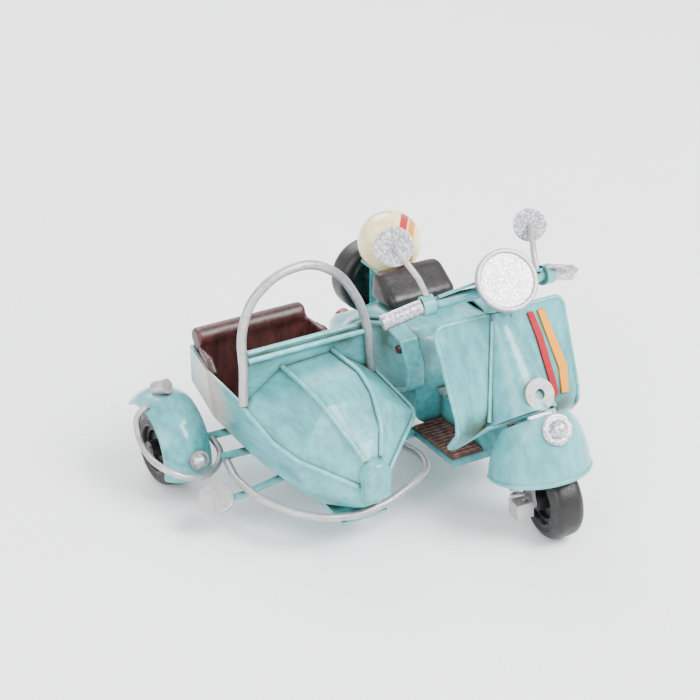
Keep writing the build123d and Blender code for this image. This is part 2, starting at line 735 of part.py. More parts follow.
# The hood's two folds at the same stations, from the windscreen forward: (right y, z), (left y, z).
FOLDS = {
    -46.5: ((-47.0, 38.0), (-33.0, 38.8)),
    -34.0: ((-47.3, 38.0), (-32.5, 38.4)),
    -27.0: ((-46.4, 35.8), (-33.2, 36.2)),
    -19.0: ((-43.6, 29.2), (-35.4, 31.2)),
    -15.6: ((-42.0, 25.2), (-37.6, 25.4)),
}


def tub_outline(rim, chine, bottom):
    right, left, right_z, left_z = rim
    return [(right, right_z), (SIDECAR_Y - chine[0], chine[1]), (SIDECAR_Y - bottom[0], bottom[1]),
            (SIDECAR_Y + bottom[0], bottom[1]), (SIDECAR_Y + chine[0], chine[1]), (left, left_z)]


def tub_solid():
    return section_loft([(x, tub_outline(*rest)) for x, *rest in TUB])


def run_on(corner, beside, length):
    """Carry an outline's side past its corner, away from the point beside it."""
    step_y, step_z = corner[0] - beside[0], corner[1] - beside[1]
    share = length / hypot(step_y, step_z)
    return (corner[0] + step_y * share, corner[1] + step_z * share)


def tub_space():
    """Room inside the tub, open upward."""
    inner = []
    for i, (x, *rest) in enumerate(TUB):
        shift = TIN if i == 0 else (-TIN if i == len(TUB) - 1 else 0)
        ring = inset(tub_outline(*rest), TIN)
        ring[0] = run_on(ring[0], ring[1], 6.0)
        ring[-1] = run_on(ring[-1], ring[-2], 6.0)
        inner.append((x + shift, ring))
    return section_loft(inner)


def tub():
    """Open body of the sidecar, folded from one sheet."""
    return biggest(tub_solid() - tub_space())


def hood_outline(x):
    rim = next(r for place, r, *_ in TUB if place == x)
    (fold_r, fold_rz), (fold_l, fold_lz) = FOLDS[x]
    return [(rim[0], rim[2]), (fold_r, fold_rz), (fold_l, fold_lz), (rim[1], rim[3])]


def hood():
    """Folded roof over the rider's legs, closed at the nose."""
    outer = [(x, hood_outline(x)) for x in FOLDS]
    inner = []
    for i, x in enumerate(FOLDS):
        ring = inset(hood_outline(x), TIN)
        ring[0] = run_on(ring[0], ring[1], 4.0)
        ring[-1] = run_on(ring[-1], ring[-2], 4.0)
        shift = 1.0 if i == 0 else (-TIN if i == len(FOLDS) - 1 else 0)
        inner.append((x + shift, ring))
    return biggest(section_loft(outer) - section_loft(inner))


def hood_line(index, lift):
    return [(x, hood_outline(x)[index][0], hood_outline(x)[index][1] + lift) for x in FOLDS]


def hood_rib(index):
    """Wire over one fold of the hood."""
    line = hood_line(index, 0.35)
    first = line[0]
    start = (first[0] - 0.4, first[1], first[2])
    return bent_wire([start] + line[1:], BEAD_R, 12)


def hood_edge(index):
    """Wire over the seam between hood and tub."""
    side = -0.25 if index == 0 else 0.25
    line = [(x, y + side, z) for x, y, z in hood_line(index, 0)]
    return bent_wire(line, BEAD_R, 6)


def arch_bead():
    """Wire over the hood's rear edge."""
    x = -46.9
    return bent_wire([(x, y, z + 0.3) for y, z in hood_outline(-46.5)], BEAD_R, 9)


def nose_cap():
    """Rounded boss where hood, tub and ribs meet."""
    boss = Pos(-13.7, SIDECAR_Y, 21.0) * Box(3.4, 7.0, 9.6)
    top = boss.edges().filter_by(Axis.X).group_by(Axis.Z)[-1]
    boss = fillet(top, 3.2)
    front = boss.faces().sort_by(Axis.X)[-1]
    return fillet(front.edges(), 1.2)


COWL_TOP = 43.4


def cowl_plate():
    """Upright panel between the windscreen's legs, above the hood's rear edge."""
    (a, b, c, d) = hood_outline(-46.5)
    spots = [(a[0] + 0.8, a[1] + 1.2), (a[0] + 1.6, COWL_TOP), (d[0] - 2.6, COWL_TOP), (d[0] - 0.8, d[1] + 1.2),
             (c[0], c[1] + 0.2), (b[0], b[1] + 0.2)]
    face = Plane.YZ * make_face(Polyline(*spots, close=True).edges())
    return extrude(Pos(-47.0, 0, 0) * face, TIN, dir=(1, 0, 0))


def cowl_wires():
    upper = rod((-47.2, -56.0, COWL_TOP + 0.2), (-47.2, -24.2, COWL_TOP + 0.2), BEAD_R + 0.1)
    lower = rod((-45.6, -56.6, COWL_TOP - 1.0), (-45.6, -24.4, COWL_TOP - 1.0), BEAD_R + 0.1)
    return upper + lower


def windscreen_hoop():
    """Bent tube that stands on the rim at both sides."""
    line = [(-57.9, RIDER_Z + 0.2), (-57.6, 40.0), (-58.2, 49.5), (-55.6, 57.8), (-48.4, 63.4),
            (-38.8, 64.3), (-30.4, 59.0), (-24.8, 49.4), (-22.7, 40.6), (-21.9, RIDER_Z + 0.2)]
    return bent_wire([(WINDSCREEN_X - 0.2, y, z) for y, z in line], HOOP_R, 24)


SEAT_FLOOR = 12.0
CUSHION_TOP = 17.0
SEAT_BACK_TOP = 37.7


def seat_cushion():
    pad = block((-72.4, SIDECAR_Y - 13.0, SEAT_FLOOR), (-53.0, SIDECAR_Y + 13.0, CUSHION_TOP))
    pad = fillet(pad.edges().group_by(Axis.Z)[-1], 1.4)
    return pad & tub_space()


def seat_back():
    """Leaning pad with a rolled top."""
    side = [(-72.4, SEAT_FLOOR), (-74.6, SEAT_BACK_TOP - 3.0), (-78.0, SEAT_BACK_TOP - 3.0), (-75.6, SEAT_FLOOR)]
    face = Plane.XZ * make_face(Polyline(*side, close=True).edges())
    pad = extrude(Pos(0, SIDECAR_Y + 15.4, 0) * face, 30.8, dir=(0, -1, 0))
    roll = rod((-76.4, SIDECAR_Y - 15.4, SEAT_BACK_TOP - 2.6), (-76.4, SIDECAR_Y + 15.4, SEAT_BACK_TOP - 2.6), 2.6)
    return biggest((pad & tub_space()) + roll)


def seat_side(sign):
    """Thin padded arm along the tub's inside, cut ragged at its front end."""
    side = [(-73.6, 34.4), (-66.0, 34.2), (-63.2, 31.0), (-64.4, 28.2), (-61.6, 25.0), (-62.6, 21.0), (-73.0, 19.0)]
    face = Plane.XZ * make_face(Polyline(*side, close=True).edges())
    sheet = extrude(Pos(0, SIDECAR_Y + sign * 16.4 + 1.0, 0) * face, 2.4, dir=(0, -1, 0))
    return sheet


def bumper_hoop():
    """Tube round the sidecar's nose, from the outrigger to the underside of the floorboard."""
    line = [(-52.0, -59.8, 13.0), (-44.0, -61.6, 12.6), (-35.0, -61.2, 12.2), (-26.0, -57.0, 11.2), (-19.6, -50.4, 10.3),
            (-17.6, -42.0, 10.0), (-18.6, -33.6, 10.3), (-21.4, -25.0, 11.2), (-25.0, -18.0, 12.0), (-31.0, -16.6, 12.6),
            (-38.6, -18.8, 12.8)]
    return bent_wire(line, 1.0, 16)


def skid_plate():
    """Plate under the nose, hung from the tub's bottom."""
    side = [(-40.0, 8.9), (-19.0, 7.4), (-18.8, 8.4), (-30.0, 9.6)]
    face = Plane.XZ * make_face(Polyline(*side, close=True).edges())
    plate = extrude(Pos(0, SIDECAR_Y + 6.2, 0) * face, 12.4, dir=(0, -1, 0))
    return biggest(plate - tub_solid())


PAD_AT = Vector(-41.7, -68.1, 10.0)
PAD_DIR = Vector(0.42, -0.2, 0.88)


def foot_pad():
    disc = Plane(origin=PAD_AT, z_dir=PAD_DIR) * Cylinder(4.3, 1.2)
    return fillet(disc.edges(), 0.3)


def foot_stalk():
    low = PAD_AT - PAD_DIR.normalized() * 1.2
    return bent_wire([(low.X, low.Y + 1.0, low.Z), (-40.4, -62.0, 9.6), (-39.2, -50.0, 12.4)], 0.9, 10)


def outrigger(x):
    """Bar from the tub's flank out to the wheel."""
    return rod((x, -50.0, 14.0), (x - 0.6, SIDE_WHEEL_Y + SIDE_FENDER_W / 2, 14.0), 1.0)


def coupling(x, far_y):
    """Bar that ties the tub to the scooter."""
    return rod((x, -31.0, 14.4), (x, far_y, 14.4), 1.1)


SIDE_AXLE = Vector(SIDE_WHEEL_X, SIDE_WHEEL_Y, TYRE_R)


def side_fender():
    """Crowned sheet over the sidecar wheel, open below and behind."""
    half = SIDE_FENDER_W / 2
    crown = [(SIDE_FENDER_R, 0), (SIDE_FENDER_R - 0.8, half * 0.55), (SIDE_FENDER_R - 2.6, half)]
    outer = Spline(*[(r, -y) for r, y in reversed(crown[1:])], *crown)
    inner = Spline(*[(r - TIN, -y) for r, y in reversed(crown[1:])], *[(r - TIN, y) for r, y in crown])
    ends = [Line(outer @ 0, inner @ 0), Line(outer @ 1, inner @ 1)]
    band = revolve(make_face([outer, inner, *ends]), Axis.Y)
    span = Plane.XZ * make_face(Polyline((0, 0), (60, -12.0), (60, 60), (-44, 60), close=True).edges())
    return Pos(*SIDE_AXLE) * biggest(band & extrude(Pos(0, 20, 0) * span, 40, dir=(0, -1, 0)))


def side_fender_web():
    """Inner cheek of the fender, which carries the axle and meets the outriggers."""
    y_face = SIDE_FENDER_W / 2 - TIN
    face = Plane.XZ * (Circle(SIDE_FENDER_R - 2.9) - Pos(0, -20) * Rectangle(60, 40))
    sheet = extrude(Pos(0, y_face + TIN, 0) * face, TIN, dir=(0, -1, 0))
    tab = Pos(0, y_face + TIN / 2, 1.0) * Box(6, TIN, 6)
    hole = Rot(90, 0, 0) * Cylinder(AXLE_R, 60)
    return Pos(*SIDE_AXLE) * (sheet + tab - hole)


def ring_bumper():
    """Wire guard round the fender's foot, from its outer rear edge to the outrigger."""
    line = [(2.4, -5.8, 14.2), (-0.4, -7.9, 10.0), (2.6, -8.6, 5.5), (7.0, -9.1, 4.4), (12.9, -9.6, 4.2),
            (17.7, -8.1, 3.6), (19.8, -4.1, 1.4), (18.6, 2.2, -0.4), (15.4, 7.0, 0.2), (12.0, 9.4, 1.6), (8.4, 8.6, 3.8)]
    return bent_wire([SIDE_AXLE + Vector(*spot) for spot in line], 0.85, 14)


MARKER_ANGLE = 10.0


def marker_lamp():
    """Small lamp on the fender's front: ring and dome."""
    out = Vector(cos(radians(MARKER_ANGLE)), 0, sin(radians(MARKER_ANGLE)))
    at = SIDE_AXLE + out * SIDE_FENDER_R + Vector(0, 1.6, 0)
    ring = Plane(origin=at - out * 0.2, z_dir=out) * Cylinder(2.5, 1.6)
    return ring, Plane(origin=at + out * 0.5, z_dir=out) * Sphere(1.9)


def rear_marker():
    """Small tail lamp lying on the fender's rear top."""
    top = SIDE_AXLE + Vector(0, 0, SIDE_FENDER_R)
    return rod(top + Vector(-2.0, -1.4, 0.2), top + Vector(1.4, 0.4, 2.0), 1.9)


# ---- assembly ----
def yawed(shape):
    """Fork pieces as soldered: turned a little about the steering axis."""
    return shape.rotate(STEER_AXIS, FORK_YAW)


parts = {}


def keep(name, *shapes):
    """File one node, as separate solids where several like pieces share it."""
    parts[name] = Compound([solid for shape in shapes for solid in shape.solids()])


def front_end():
    at_axle = Pos(FORK_X, FORK_Y, TYRE_R)
    shell, bead, lamp, lens = front_fender(), fender_bead(), fender_lamp(), fender_lamp_lens()
    legs = fork()
    bracket = biggest((fender_bracket() & fender_bell(0)) - shell - bead - legs)
    keep("front_tyre", yawed(at_axle * tyre()))
    keep("front_hub", yawed(at_axle * hub()))
    keep("front_axle", yawed(at_axle * axle(FORK_OUT + 0.8, BOX_OUT)))
    keep("fork", *[yawed(piece) for piece in (legs, bracket, spring_seat() - legs, suspension_box())])
    keep("suspension_spring", yawed(spring()))
    keep("front_fender", yawed(biggest(shell - bead - lamp)), yawed(bead))
    keep("fender_lamp", yawed(biggest(lamp - fender_bell(TIN) - lens)))
    keep("fender_lamp_lens", yawed(lens))


def handlebar_group():
    bar = handlebar()
    post = biggest(column() - bar)
    collar = biggest(steering_collar() - bar)
    shell = headlamp_shell()
    keep("steering_column", post, collar)
    keep("handlebar", bar)
    keep("headlamp_shell", biggest(shell - bar - post - collar))
    keep("headlamp_rim", headlamp_rim())
    keep("headlamp_glass", headlamp_glass())
    discs, stems, clamps, grips, brackets = [], [], [], [], []
    sides = [
        (lambda s: s, GRIP_LEN, mirror_stem((-28.4, -17.2, HANDLEBAR_Z + 1.2), (-30.4, -18.2, HANDLEBAR_Z + 5.0), RIGHT_MIRROR), RIGHT_MIRROR, 4.8),
        (mirrored, LEFT_GRIP_LEN, mirror_stem((-28.0, 14.4, HANDLEBAR_Z + 0.6), (-30.6, 15.2, HANDLEBAR_Z + 4.0), LEFT_MIRROR), LEFT_MIRROR, 4.2),
    ]
    for flip, length, stem, centre, radius in sides:
        disc, handle = mirror_disc(centre, radius), flip(grip(length)) - bar
        stem = biggest(stem - disc - bar)
        discs.append(disc)
        stems.append(stem)
        grips.append(handle)
        clamps.append(biggest(flip(lever_clamp()) - bar - stem - handle))
        brackets.append(biggest(flip(lamp_bracket()) - bar - shell - stem))
    keep("mirrors", *discs)
    keep("mirror_stems", *stems)
    keep("lever_clamps", *clamps)
    keep("grips", *grips)
    keep("lamp_brackets", *brackets)
    keep("brake_lever", biggest(brake_lever() - clamps[1] - stems[1]))


def shield_group():
    tube = head_tube()
    bead = biggest(shield_bead() - rod(on_axis(20), on_axis(60), HEAD_TUBE_R + SEAM) - steering_sweep())
    ribs = [shield_rib(), mirrored(shield_rib())]
    panel, ring, floor = centre_panel(), badge(), floorboard()
    halves = []
    for flip, rib in zip((lambda s: s, mirrored), ribs):
        half = biggest(flip(shield_half()) - bead - rib - floor)
        halves.append(half)
        panel = panel - rib - half
    keep("leg_shield", *halves)
    keep("shield_wires", bead, *[biggest(rib - bead - tube) for rib in ribs])
    keep("centre_panel", biggest(panel - bead - ring))
    keep("head_tube", tube)
    keep("badge_washer", biggest(ring - bead))
    red = stripe([(8.3, 49.4, 0.8), (9.5, 43.9, 0.9), (10.5, 33.6, 0.9), (10.6, 30.2, 0.7)], 0.5)
    yellow = stripe([(11.4, 49.4, 0.9), (12.8, 43.2, 1.1), (14.3, 35.9, 1.2), (13.4, 30.3, 1.0)], 0.5)
    keep("shield_stripes", red - bead, yellow - bead)
    keep("floorboard", floor - bead, tunnel())
    keep("floor_mats", floor_mat(), mirrored(floor_mat()))
    keep("brake_pedal", *brake_pedal())


def rear_group():
    casing, solid, bead, wire = rear_body(), body_solid(), body_bead(), engine_cover_bead()
    lining = solid - casing
    keep("rear_body", biggest(casing - bead - floorboard() - tail_lamp()), biggest(bead - lining))
    cover = biggest(engine_cover() - wire - bead)
    keep("engine_covers", cover, mirrored(cover), wire, mirrored(wire))
    keep("cover_knob", cover_knob())
    keep("tail_lamp", biggest(tail_lamp() - lining))
    keep("rear_frame", biggest(engine_block() & lining), rear_arm(-1), rear_arm(1))
    rear = Pos(REAR_AXLE_X, 0, TYRE_R)
    side = Pos(*SIDE_AXLE)
    keep("rear_tyre", rear * tyre())
    keep("rear_hub", rear * hub())
    keep("wheel_axles", rear * axle(FORK_OUT + 0.6, FORK_OUT + 0.6), side * axle(SIDE_FENDER_W / 2, FORK_OUT + 0.4))
    keep("saddle", saddle())
    keep("luggage_rack", rack(), saddle_base())
    keep("helmet", helmet())
    spare = Pos(SPARE_X, 0, SPARE_Z) * Rot(0, 0, 90)
    keep("spare_tyre", spare * tyre())
    keep("spare_rim", spare * hub())
    keep("spare_mount", spare_bolt())


def sidecar_body():
    hull, roof, cowl, nose, hoop = tub(), hood(), cowl_plate(), nose_cap(), windscreen_hoop()
    taken = nose + hoop
    wires = []
    for piece in (hood_rib(1), hood_rib(2), hood_edge(0), hood_edge(3), arch_bead(), *cowl_wires().solids()):
        wires.append(biggest(piece - taken))
        hull, roof, cowl, taken = hull - piece, roof - piece, cowl - piece, taken + piece
    keep("sidecar_wires", *wires)
    keep("sidecar_tub", biggest(hull - hoop - nose))
    roof = biggest(roof - hoop - nose)
    keep("sidecar_hood", roof)
    keep("cowl_plate", biggest(cowl - hoop - roof))
    keep("nose_cap", nose)
    keep("windscreen_hoop", hoop)
    back, inside = seat_back(), tub_space()
    arms = [biggest((seat_side(sign) & inside) - back) for sign in (-1, 1)]
    keep("seat_back", biggest(back - hull), *arms)
    keep("seat_cushion", biggest(seat_cushion() - back))


def sidecar_running_gear():
    solid, hoop, pad, guard, web = tub_solid(), bumper_hoop(), foot_pad(), ring_bumper(), side_fender_web()
    keep("bumper_hoop", hoop)
    keep("foot_pad", pad)
    bars = [biggest(foot_stalk() - pad - solid - hoop)]
    bars += [biggest(outrigger(x) - solid - hoop - guard - web) for x in (-52.0, -63.0)]
    bars += [biggest(coupling(-38.0, -FLOOR_HALF) - solid - hoop), biggest(coupling(-56.0, -10.0) - solid - body_solid())]
    keep("sidecar_bars", *bars, skid_plate())
    lamp_ring, lamp_dome = marker_lamp()
    tail = rear_marker()
    keep("side_fender", biggest(side_fender() - web - guard - lamp_ring - lamp_dome - tail), web - guard)
    keep("ring_bumper", guard)
    keep("side_lamps", biggest(lamp_ring - lamp_dome), tail)
    keep("side_lamp_lens", lamp_dome)
    place = Pos(*SIDE_AXLE)
    keep("side_tyre", place * tyre())
    keep("side_hub", place * hub())


front_end()
handlebar_group()
shield_group()
rear_group()
sidecar_body()
sidecar_running_gear()

whole = Compound([solid for shape in parts.values() for solid in shape.solids()]).bounding_box()
SHIFT = Vector(-(whole.min.X + whole.max.X) / 2, -(whole.min.Y + whole.max.Y) / 2, -whole.min.Z)

os.makedirs("parts", exist_ok=True)
for name, shape in parts.items():
    export_step(Pos(SHIFT) * shape, "parts/" + name + ".step")
print(len(parts), "parts; shift", SHIFT, "size", whole.size)
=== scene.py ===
import json
import math

import bmesh
import bpy
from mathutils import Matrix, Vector


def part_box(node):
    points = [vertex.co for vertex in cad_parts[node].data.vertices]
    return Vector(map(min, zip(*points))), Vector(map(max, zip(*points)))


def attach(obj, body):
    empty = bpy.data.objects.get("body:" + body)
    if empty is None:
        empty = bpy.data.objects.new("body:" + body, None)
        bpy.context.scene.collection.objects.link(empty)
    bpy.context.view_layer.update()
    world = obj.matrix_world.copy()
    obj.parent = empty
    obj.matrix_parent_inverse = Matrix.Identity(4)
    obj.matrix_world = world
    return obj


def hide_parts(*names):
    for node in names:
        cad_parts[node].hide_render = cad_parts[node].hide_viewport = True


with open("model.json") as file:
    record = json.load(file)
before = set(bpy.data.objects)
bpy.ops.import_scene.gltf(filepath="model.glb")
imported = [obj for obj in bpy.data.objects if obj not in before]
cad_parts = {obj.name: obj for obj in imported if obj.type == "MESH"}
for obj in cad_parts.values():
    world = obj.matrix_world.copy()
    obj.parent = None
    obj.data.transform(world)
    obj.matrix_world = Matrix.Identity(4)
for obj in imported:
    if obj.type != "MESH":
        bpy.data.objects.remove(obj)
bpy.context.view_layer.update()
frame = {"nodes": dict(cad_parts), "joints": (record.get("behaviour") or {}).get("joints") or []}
nodes = frame["nodes"]


# ---- where the model stands ----
# The tin model stands on a white, finely woven cloth in front of nothing, and is seen from
# the front, over the sidecar's nose, a little from above.
class Feed:
    """A value coming out of a node, that takes part in plain arithmetic."""

    def __init__(self, paint, socket):
        self.paint, self.socket = paint, socket

    def maths(self, operation, first, second=0.0):
        return self.paint.node("Math", {0: first, 1: second}, operation=operation)

    def __add__(self, other):
        return self.maths("ADD", self, other)

    def __sub__(self, other):
        return self.maths("SUBTRACT", self, other)

    def __rsub__(self, other):
        return self.maths("SUBTRACT", other, self)

    def __mul__(self, other):
        return self.maths("MULTIPLY", self, other)

    def __truediv__(self, other):
        return self.maths("DIVIDE", self, other)

    __radd__ = __add__
    __rmul__ = __mul__

    def most(self, other):
        return self.maths("MAXIMUM", self, other)

    def least(self, other):
        return self.maths("MINIMUM", self, other)

    def held(self):
        """Kept between 0 and 1."""
        return self.most(0.0).least(1.0)


def tint(red, green, blue):
    """A colour as the eye names it, for a shader's socket."""
    return tuple(((c + 0.055) / 1.055) ** 2.4 for c in (red, green, blue)) + (1.0,)


class Paint:
    """One finish, to which nodes are added as they are needed."""

    def __init__(self, name, **sockets):
        self.material = bpy.data.materials.new(name)
        self.material.use_nodes = True
        self.tree = self.material.node_tree
        self.shader = self.tree.nodes["Principled BSDF"]
        self.give(**sockets)

    def fill(self, socket, value):
        if isinstance(value, Feed):
            self.tree.links.new(value.socket, socket)
        else:
            socket.default_value = value

    def give(self, **sockets):
        """Sets sockets of the surface, named with _ for a space."""
        for name, value in sockets.items():
            self.fill(self.shader.inputs[name.replace("_", " ")], value)

    def node(self, kind, sockets=None, out=0, **settings):
        made = self.tree.nodes.new("ShaderNode" + kind)
        for name, value in settings.items():
            setattr(made, name, value)
        for name, value in (sockets or {}).items():
            self.fill(made.inputs[name], value)
        return Feed(self, made.outputs[out])

    def place(self):
        """Where a point of the piece lies, in metres of the row frame."""
        return self.node("TexCoord", out="Object")

    def noise(self, scale, detail=3.0, rough=0.55, stretch=(1, 1, 1)):
        """Cloudy value; it is drawn out along an axis whose stretch is small."""
        spot = self.node("Mapping", {"Vector": self.place(), "Scale": stretch})
        sockets = {"Vector": spot, "Scale": scale, "Detail": detail, "Roughness": rough}
        return self.node("TexNoise", sockets, out="Fac")

    def step(self, value, low, high):
        """0 below low, 1 above high, and a slope between."""
        return self.node("MapRange", {"Value": value, "From Min": low, "From Max": high})

    def blend(self, share, first, second):
        return self.node("Mix", {0: share, 6: first, 7: second}, out=2, data_type="RGBA")

    def bump(self, height, depth):
        """Normal of a surface raised by height times depth, in metres."""
        return self.node("Bump", {"Height": height, "Distance": depth, "Strength": 1.0})

    def around(self, spot, radius):
        """1 at a spot and 0 from a radius on, both in millimetres."""
        centre = [c / 1000 for c in spot]
        far = self.node("VectorMath", {0: self.place(), 1: centre}, out="Value", operation="DISTANCE")
        return (1 - far / (radius / 1000)).held()


def sheet(name, corners, material):
    """Flat piece between corners."""
    mesh = bpy.data.meshes.new(name)
    mesh.from_pydata(corners, [], [tuple(range(len(corners)))])
    piece = bpy.data.objects.new(name, mesh)
    mesh.materials.append(material)
    bpy.context.scene.collection.objects.link(piece)
    return piece


def threads(direction):
    """One set of the cloth's threads."""
    sockets = {"Vector": cloth.place(), "Scale": THREAD_COUNT, "Distortion": 0.6, "Detail": 1.0}
    return cloth.node("TexWave", sockets, out="Fac", bands_direction=direction)


THREAD_COUNT = 420.0
cloth = Paint("white_cloth", Roughness=0.9)
weave = threads("X") * threads("Y")
shade = weave * 0.35 + cloth.noise(30) * 0.3
cloth.give(Base_Color=cloth.blend(shade, tint(0.93, 0.935, 0.94), tint(0.985, 0.985, 0.985)),
           Normal=cloth.bump(weave, 0.00004))
FLOOR_REACH = 3.0
corners = [(sx * FLOOR_REACH, sy * FLOOR_REACH, 0) for sx, sy in ((-1, -1), (1, -1), (1, 1), (-1, 1))]
sheet("floor", corners, cloth.material)

LOOK_AT = Vector((-0.045574, 0.022951, 0.0121))
LOOK_DISTANCE = 0.563
LOOK_FROM = LOOK_AT + LOOK_DISTANCE * Vector((0.7657, -0.4552, 0.4545))
camera = bpy.data.objects.new("camera", bpy.data.cameras.new("camera"))
camera.data.lens = 105.9
camera.data.sensor_width = 36
camera.location = LOOK_FROM
camera.rotation_mode = "QUATERNION"
camera.rotation_quaternion = (LOOK_AT - LOOK_FROM).to_track_quat("-Z", "Y")
camera.data.clip_start, camera.data.clip_end = 0.01, 20
bpy.context.scene.collection.objects.link(camera)
bpy.context.scene.camera = camera

sky = bpy.data.worlds.new("studio")
sky.use_nodes = True
sky.node_tree.nodes["Background"].inputs["Color"].default_value = (1, 1, 1, 1)
sky.node_tree.nodes["Background"].inputs["Strength"].default_value = 1.5
bpy.context.scene.world = sky


def lamp(name, spot, size, watts):
    """Square soft box aimed at the model."""
    light = bpy.data.objects.new(name, bpy.data.lights.new(name, "AREA"))
    light.data.size, light.data.energy = size, watts
    light.location = spot
    light.rotation_mode = "QUATERNION"
    light.rotation_quaternion = (LOOK_AT - Vector(spot)).to_track_quat("-Z", "Y")
    bpy.context.scene.collection.objects.link(light)


lamp("key_light", (0.55, 0.35, 0.75), 0.5, 20.0)
lamp("fill_light", (0.35, -0.75, 0.5), 0.6, 7.0)
lamp("back_light", (-0.7, 0.1, 0.6), 0.5, 6.0)


# ---- tyres ----
# Four rubber rings with a rounded tread and fine moulded rings on both walls, pressed over
# the rims. The fourth stands behind the saddle as the spare.
SHARP_EDGE = 30.0                        # degrees between faces that show as an edge


def turned(name, profile, centre, axis, body, material, count=96):
    """Ring turned on a lathe from a closed (distance along the axis, radius) profile."""
    mesh = bmesh.new()
    turn = Vector(axis).normalized().to_track_quat("Z", "Y").to_matrix()
    rings = []
    for along, radius in profile:
        angles = [2 * math.pi * i / count for i in range(count)]
        spots = [Vector((radius * math.cos(a), radius * math.sin(a), along)) for a in angles]
        rings.append([mesh.verts.new(Vector(centre) + turn @ s) for s in spots])
    for low, high in zip(rings, rings[1:] + rings[:1]):
        for i in range(count):
            j = (i + 1) % count
            mesh.faces.new([low[i], low[j], high[j], high[i]])
    bmesh.ops.recalc_face_normals(mesh, faces=mesh.faces)
    data = bpy.data.meshes.new(name)
    mesh.to_mesh(data)
    mesh.free()
    data.polygons.foreach_set("use_smooth", [True] * len(data.polygons))
    data.set_sharp_from_angle(angle=math.radians(SHARP_EDGE))
    data.materials.append(material)
    piece = bpy.data.objects.new(name, data)
    bpy.context.scene.collection.objects.link(piece)
    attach(piece, body)
    return piece


rubber = Paint("black_rubber", Specular_IOR_Level=0.45)
dust = rubber.step(rubber.noise(700, 4, 0.7), 0.5, 0.75)
rubber.give(Base_Color=rubber.blend(dust * 0.5, tint(0.055, 0.05, 0.055), tint(0.15, 0.135, 0.135)),
            Roughness=0.42 + dust * 0.25,
            Normal=rubber.bump(rubber.noise(900, 3), 0.00006))

TYRE_R, TYRE_HALF, RIM_R = 0.0099, 0.00395, 0.00565
RING_COUNT, RING_PITCH, RING_DEPTH = 3, 0.00062, 0.00014
SHOULDER_WIDE, SHOULDER_HIGH = 0.0024, 0.0020


def tyre_profile():
    """Half of the ring's section, from the rim over the tread, then mirrored."""
    wall = [(TYRE_HALF - 0.0009, RIM_R), (TYRE_HALF - 0.0002, RIM_R + 0.0003)]
    low = TYRE_HALF - RING_DEPTH
    for i in range(RING_COUNT):
        ring = RIM_R + 0.0007 + i * RING_PITCH
        wall += [(TYRE_HALF, ring), (TYRE_HALF, ring + 0.00028), (low, ring + 0.0004), (low, ring + 0.0005)]
    shoulder = [(TYRE_HALF - SHOULDER_WIDE * (1 - math.cos(a)), TYRE_R - SHOULDER_HIGH * (1 - math.sin(a)))
                for a in [math.radians(t) for t in range(0, 91, 15)]]
    half = wall + shoulder
    return half + [(-along, radius) for along, radius in reversed(half)]


def tyre(name, node, centre, axis, body):
    """Rubber ring in place of a plain CAD tyre."""
    ring = turned(name, tyre_profile(), centre, axis, body, rubber.material)
    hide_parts(node)


joint_of = {j["name"]: j for j in frame["joints"]}
for wheel, node in (("front", "front_tyre"), ("rear", "rear_tyre"), ("sidecar", "side_tyre")):
    joint = joint_of[wheel + "_wheel_spin"]
    tyre(wheel + "_rubber", node, joint["pos_m"], joint["axis"], wheel + "_wheel")
spare_low, spare_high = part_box("spare_tyre")
tyre("spare_rubber", "spare_tyre", (spare_low + spare_high) / 2, (1, 0, 0), "chassis")


# ---- painted tin ----
# The sheet pieces and the wires soldered along their edges are brushed over with one
# turquoise enamel, and a thin olive wash has run into the seams and dried in blotches. Seams and corners are
# also darkened towards olive as painted shade.
def dress(material, *names):
    """Gives CAD nodes their finish."""
    for name in names:
        for slot in nodes[name].material_slots:
            slot.material = material


SEAM_REACH = 0.0016                      # how far from a corner the painted shade and olive grime reach


def turquoise(name, strokes=(1, 1, 0.2), stains=(), faded=(), gloss=0.3, seam_grime_and_shade=1.0, light=0.0):
    """Enamel with brush strokes drawn out along the axis whose stretch is small. A stain is
    (spot in mm, radius in mm, strength), and a faded patch ends in its colour instead."""
    paint = Paint(name, Specular_IOR_Level=0.5)
    broad = paint.noise(70, 2)
    brush = paint.noise(520, 5, 0.65, stretch=strokes)
    deep = tint(0.22 + light, 0.50 + light, 0.52 + light)
    pale = tint(0.36 + light, 0.68 + light, 0.70 + light)
    colour = paint.blend(paint.step(brush * 0.55 + broad * 0.45, 0.36, 0.64), deep, pale)
    # Ambient occlusion darkens the enamel towards olive in corners and seams: painted shade, mixed with the
    # olive grime there.
    hollow = paint.node("AmbientOcclusion", {"Distance": SEAM_REACH}, out="AO", samples=6)
    patchy = paint.noise(330, 4, 0.7)
    grime_and_shade = (1 - hollow) * 1.5 * (patchy + 0.35) * seam_grime_and_shade
    for spot, radius, strength in stains:
        near = paint.around(spot, radius)
        grime_and_shade = grime_and_shade + paint.step(near * 0.75 + patchy * 0.75, 0.62, 0.95) * near * strength
    grime_and_shade = grime_and_shade.held()
    # The olive mix is painted shade and grime in the seams, plus the real stains.
    colour = paint.blend(grime_and_shade, colour, tint(0.22, 0.25, 0.14))
    for spot, radius, shade in faded:
        paler_share = paint.step(paint.around(spot, radius) + brush * 0.5, 0.45, 0.85)
        colour = paint.blend(paler_share, colour, tint(*shade))
    paint.give(Base_Color=colour, Roughness=gloss + grime_and_shade * 0.35 + brush * 0.12,
               Normal=paint.bump(brush * 0.35 + paint.noise(160, 2), 0.00022),
               Coat_Weight=(1 - grime_and_shade) * 0.35)
    return paint.material


